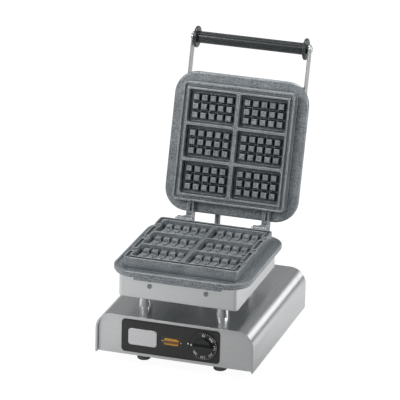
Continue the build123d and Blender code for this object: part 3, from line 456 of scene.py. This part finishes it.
def numeral(text, angle, radius, size, y):
    """A plain number on the dial's skirt, upright to the dial's middle."""
    curve = bpy.data.curves.new(f"dial_number_{text}", "FONT")
    curve.body = text
    curve.size = size
    curve.align_x = "CENTER"
    curve.align_y = "CENTER"
    curve.extrude = PRINT_THICKNESS / 2
    text_object = bpy.data.objects.new(f"dial_number_{text}", curve)
    bpy.context.scene.collection.objects.link(text_object)
    x, z = dial_place(angle, radius)
    turn = Matrix.Rotation(angle, 4, "Y") @ Matrix.Rotation(math.pi / 2, 4, "X")
    text_object.matrix_world = Matrix.Translation((x, y - PRINT_THICKNESS / 2, z)) @ turn
    bpy.context.view_layer.update()
    depsgraph = bpy.context.evaluated_depsgraph_get()
    mesh = bpy.data.meshes.new_from_object(text_object.evaluated_get(depsgraph))
    mesh.transform(text_object.matrix_world)
    bpy.data.objects.remove(text_object)
    mesh.name = f"dial_number_{text}"
    return link_mesh(f"dial_number_{text}", mesh, "print_white", "knob")


DIAL_FACE = OVERLAY_FACE - KNOB_GAP - DIAL_SKIRT
DIAL_NUMBERS = (50, 100, 150, 200, 250, 300)
FIRST_NUMBER_ANGLE = math.radians(0)
NUMBER_STEP = math.radians(45)


def make_dial_print():
    """Numbers and ticks on the knob's skirt, and the marks on the overlay."""
    for i, value in enumerate(DIAL_NUMBERS):
        angle = FIRST_NUMBER_ANGLE + i * NUMBER_STEP
        numeral(str(value), angle, NUMBER_RADIUS, NUMBER_SIZE, DIAL_FACE)
    strokes = []
    for i in range((len(DIAL_NUMBERS) - 1) * TICKS_PER_NUMBER + 1):
        angle = FIRST_NUMBER_ANGLE + i * NUMBER_STEP / TICKS_PER_NUMBER
        inner = TICK_INNER if i % TICKS_PER_NUMBER else LONG_TICK_INNER
        strokes.append(tick(angle, inner, TICK_OUTER, TICK_WIDTH))
    flat_marks("dial_ticks", strokes, DIAL_FACE, "print_white", "knob")
    off = math.radians(270)
    dot = disc(*dial_place(off, OFF_DOT_RADIUS), 0.0017)
    flat_marks("dial_off_dot", [dot], DIAL_FACE, "print_white", "knob")
    mark = disc(*dial_place(off, OVERLAY_DOT_RADIUS), 0.0016)
    frame_half_width = LAMP_LENGTH / 2 + LAMP_FRAME_GAP
    ends = [disc(LAMP_X + side * frame_half_width, LAMP_Z, 0.0010) for side in (-1, 1)]
    flat_marks("overlay_marks", [mark, *ends], OVERLAY_FACE, "print_white", "base")
    flat_marks(
        "lamp_frame",
        frame_lines(LAMP_X, LAMP_Z, frame_half_width, LAMP_FRAME_HALF_HEIGHT, LAMP_FRAME_LINE),
        OVERLAY_FACE,
        "print_grey",
        "base",
    )


def frame_lines(x, z, half_width, half_height, line):
    """The outlines of thin strokes that make a rectangle, open at the middle of each end."""
    low, high = z - half_height, z + half_height
    left, right = x - half_width, x + half_width
    strokes = [((left, low), (right, low + line)), ((left, high - line), (right, high))]
    for end in (left, right - line):
        strokes.append(((end, low + line), (end + line, z - LAMP_FRAME_OPENING)))
        strokes.append(((end, z + LAMP_FRAME_OPENING), (end + line, high - line)))
    return [[(a[0], a[1]), (b[0], a[1]), (b[0], b[1]), (a[0], b[1])] for a, b in strokes]


# Conduit
HOSE_ROUTE = [
    (0.014, 0.177, 0.050),
    (0.014, 0.193, 0.051),
    (0.014, 0.224, 0.045),
    (0.011, 0.256, 0.043),
    (0.005, 0.284, 0.057),
    (-0.004, 0.293, 0.088),
    (-0.016, 0.279, 0.115),
    (-0.025, 0.250, 0.126),
    (-0.030, 0.220, 0.135),
    (-0.033, 0.196, 0.157),
    (-0.033, 0.196, 0.190),
    (-0.033, 0.2017, 0.2046),
]
HOSE_SIDES = 20
RING_STEP = 0.0011
RINGS_PER_RIB = 3
RIB_DEPTH = 0.0002


def make_hose():
    """The ribbed conduit from the base to the lid, on one smooth curve."""
    curve = bpy.data.curves.new("hose_line", "CURVE")
    curve.dimensions = "3D"
    curve.resolution_u = 24
    spline = curve.splines.new("NURBS")
    spline.points.add(len(HOSE_ROUTE) - 1)
    for point, place in zip(spline.points, HOSE_ROUTE):
        point.co = (*place, 1)
    spline.order_u = 3
    spline.use_endpoint_u = True
    line = bpy.data.objects.new("hose_line", curve)
    bpy.context.scene.collection.objects.link(line)
    drawn = bpy.data.meshes.new_from_object(line)
    path = [v.co.copy() for v in drawn.vertices]
    bpy.data.objects.remove(line)
    # Rings at even steps along the line, some a little wider for the conduit's ribs
    spots = []
    travelled = 0.0
    for a, b in zip(path, path[1:]):
        length = (b - a).length
        while len(spots) * RING_STEP <= travelled + length:
            share = (len(spots) * RING_STEP - travelled) / length
            spots.append((a.lerp(b, share), (b - a).normalized()))
        travelled += length
    sides = HOSE_SIDES
    mesh = bmesh.new()
    side_way = Vector((1, 0, 0))
    rings = []
    for i, (place, way) in enumerate(spots):
        radius = HOSE_RADIUS - (RIB_DEPTH if i % RINGS_PER_RIB else 0.0)
        up = way.cross(side_way).normalized()
        ring = [
            mesh.verts.new(
                place
                + radius * math.cos(2 * math.pi * k / sides) * side_way
                + radius * math.sin(2 * math.pi * k / sides) * up
            )
            for k in range(sides)
        ]
        rings.append(ring)
    for a, b in zip(rings, rings[1:]):
        for k in range(sides):
            face = mesh.faces.new((a[k], a[(k + 1) % sides], b[(k + 1) % sides], b[k]))
            face.smooth = True
    mesh.faces.new(reversed(rings[0]))
    mesh.faces.new(rings[-1])
    bmesh.ops.recalc_face_normals(mesh, faces=mesh.faces)
    data = bpy.data.meshes.new("conduit_corrugated")
    mesh.to_mesh(data)
    mesh.free()
    hose = bpy.data.objects.new("conduit_corrugated", data)
    bpy.context.scene.collection.objects.link(hose)
    data.materials.append(LOOKS["conduit"])
    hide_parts("conduit_hose")
    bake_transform(hose)


# Studio
def area_light(name, place, target, size, power):
    data = bpy.data.lights.new(name, "AREA")
    data.shape = "RECTANGLE"
    data.size = size[0]
    data.size_y = size[1]
    data.energy = power
    light = bpy.data.objects.new(name, data)
    bpy.context.scene.collection.objects.link(light)
    light.location = place
    way = Vector(target) - Vector(place)
    light.rotation_euler = way.to_track_quat("-Z", "Y").to_euler()
    light.visible_camera = False
    return light


def make_world():
    """White behind the object, and a soft sky that is brighter above and to the left."""
    scene = bpy.context.scene
    scene.view_settings.view_transform = "Standard"
    scene.view_settings.look = "None"
    world = bpy.data.worlds.new("studio")
    scene.world = world
    world.use_nodes = True
    tree = world.node_tree
    tree.nodes.clear()
    output = tree.nodes.new("ShaderNodeOutputWorld")
    path = tree.nodes.new("ShaderNodeLightPath")
    mix = tree.nodes.new("ShaderNodeMixShader")
    seen = tree.nodes.new("ShaderNodeBackground")
    seen.inputs["Color"].default_value = (1, 1, 1, 1)
    soft = tree.nodes.new("ShaderNodeBackground")
    soft.inputs["Strength"].default_value = 0.52
    coordinates = tree.nodes.new("ShaderNodeTexCoord")
    lean = tree.nodes.new("ShaderNodeVectorMath")
    lean.operation = "DOT_PRODUCT"
    lean.inputs[1].default_value = (-0.42, -0.12, 0.75)
    ramp = tree.nodes.new("ShaderNodeValToRGB")
    shift = tree.nodes.new("ShaderNodeMapRange")
    shift.inputs["From Min"].default_value = -1
    shift.inputs["From Max"].default_value = 1
    ramp.color_ramp.elements[0].position = 0.35
    ramp.color_ramp.elements[0].color = (0.16, 0.17, 0.18, 1)
    ramp.color_ramp.elements[1].position = 0.85
    ramp.color_ramp.elements[1].color = (1, 1, 1, 1)
    tree.links.new(coordinates.outputs["Generated"], lean.inputs[0])
    tree.links.new(lean.outputs["Value"], shift.inputs["Value"])
    tree.links.new(shift.outputs["Result"], ramp.inputs["Fac"])
    tree.links.new(ramp.outputs["Color"], soft.inputs["Color"])
    tree.links.new(path.outputs["Is Camera Ray"], mix.inputs["Fac"])
    tree.links.new(soft.outputs["Background"], mix.inputs[1])
    tree.links.new(seen.outputs["Background"], mix.inputs[2])
    tree.links.new(mix.outputs["Shader"], output.inputs["Surface"])


def make_floor():
    """Pale paper under the object, darker in front at the right, that keeps the shadow."""
    scene = bpy.context.scene
    floor_mesh = bpy.data.meshes.new("floor")
    reach = 6.0
    floor_mesh.from_pydata(
        [(-reach, -reach, 0), (reach, -reach, 0), (reach, reach, 0), (-reach, reach, 0)],
        [],
        [(0, 1, 2, 3)],
    )
    floor = bpy.data.objects.new("floor", floor_mesh)
    scene.collection.objects.link(floor)
    material = bpy.data.materials.new("floor_paper")
    material.use_nodes = True
    nodes = material.node_tree.nodes
    links = material.node_tree.links
    nodes.clear()
    end = nodes.new("ShaderNodeOutputMaterial")
    light_path = nodes.new("ShaderNodeLightPath")
    paper = nodes.new("ShaderNodeBsdfDiffuse")
    place = nodes.new("ShaderNodeTexCoord")
    away = nodes.new("ShaderNodeVectorMath")
    away.operation = "DISTANCE"
    away.inputs[1].default_value = (0.25, -0.5, 0.0)
    fade = nodes.new("ShaderNodeMapRange")
    fade.inputs["From Min"].default_value = 0.0
    fade.inputs["From Max"].default_value = 0.65
    fade.inputs["To Min"].default_value = 0.12
    fade.inputs["To Max"].default_value = 0.80
    links.new(place.outputs["Object"], away.inputs[0])
    links.new(away.outputs["Value"], fade.inputs["Value"])
    links.new(fade.outputs["Result"], paper.inputs["Color"])
    glow = nodes.new("ShaderNodeEmission")
    glow.inputs["Color"].default_value = (1, 1, 1, 1)
    glow.inputs["Strength"].default_value = 1.14
    blend = nodes.new("ShaderNodeMixShader")
    share = nodes.new("ShaderNodeMath")
    share.operation = "MULTIPLY"
    share.inputs[1].default_value = 0.84
    links.new(light_path.outputs["Is Camera Ray"], share.inputs[0])
    links.new(share.outputs[0], blend.inputs["Fac"])
    links.new(paper.outputs["BSDF"], blend.inputs[1])
    links.new(glow.outputs["Emission"], blend.inputs[2])
    links.new(blend.outputs["Shader"], end.inputs["Surface"])
    floor.data.materials.append(material)


def make_lights():
    """Soft lights from the left, the right, above and behind."""
    middle = (0.0, 0.0, 0.2)
    area_light("key", (-1.2, -1.6, 1.9), middle, (0.8, 0.8), 25)
    area_light("fill", (1.9, -0.3, 1.0), middle, (1.6, 1.0), 19)
    area_light("top", (0.2, 0.5, 2.2), middle, (1.2, 0.7), 22)
    area_light("edge", (1.25, 2.4, 0.85), middle, (0.5, 1.0), 4)


make_camera()
dress_nodes()
make_dial_print()
make_hose()
make_world()
make_floor()
make_lights()
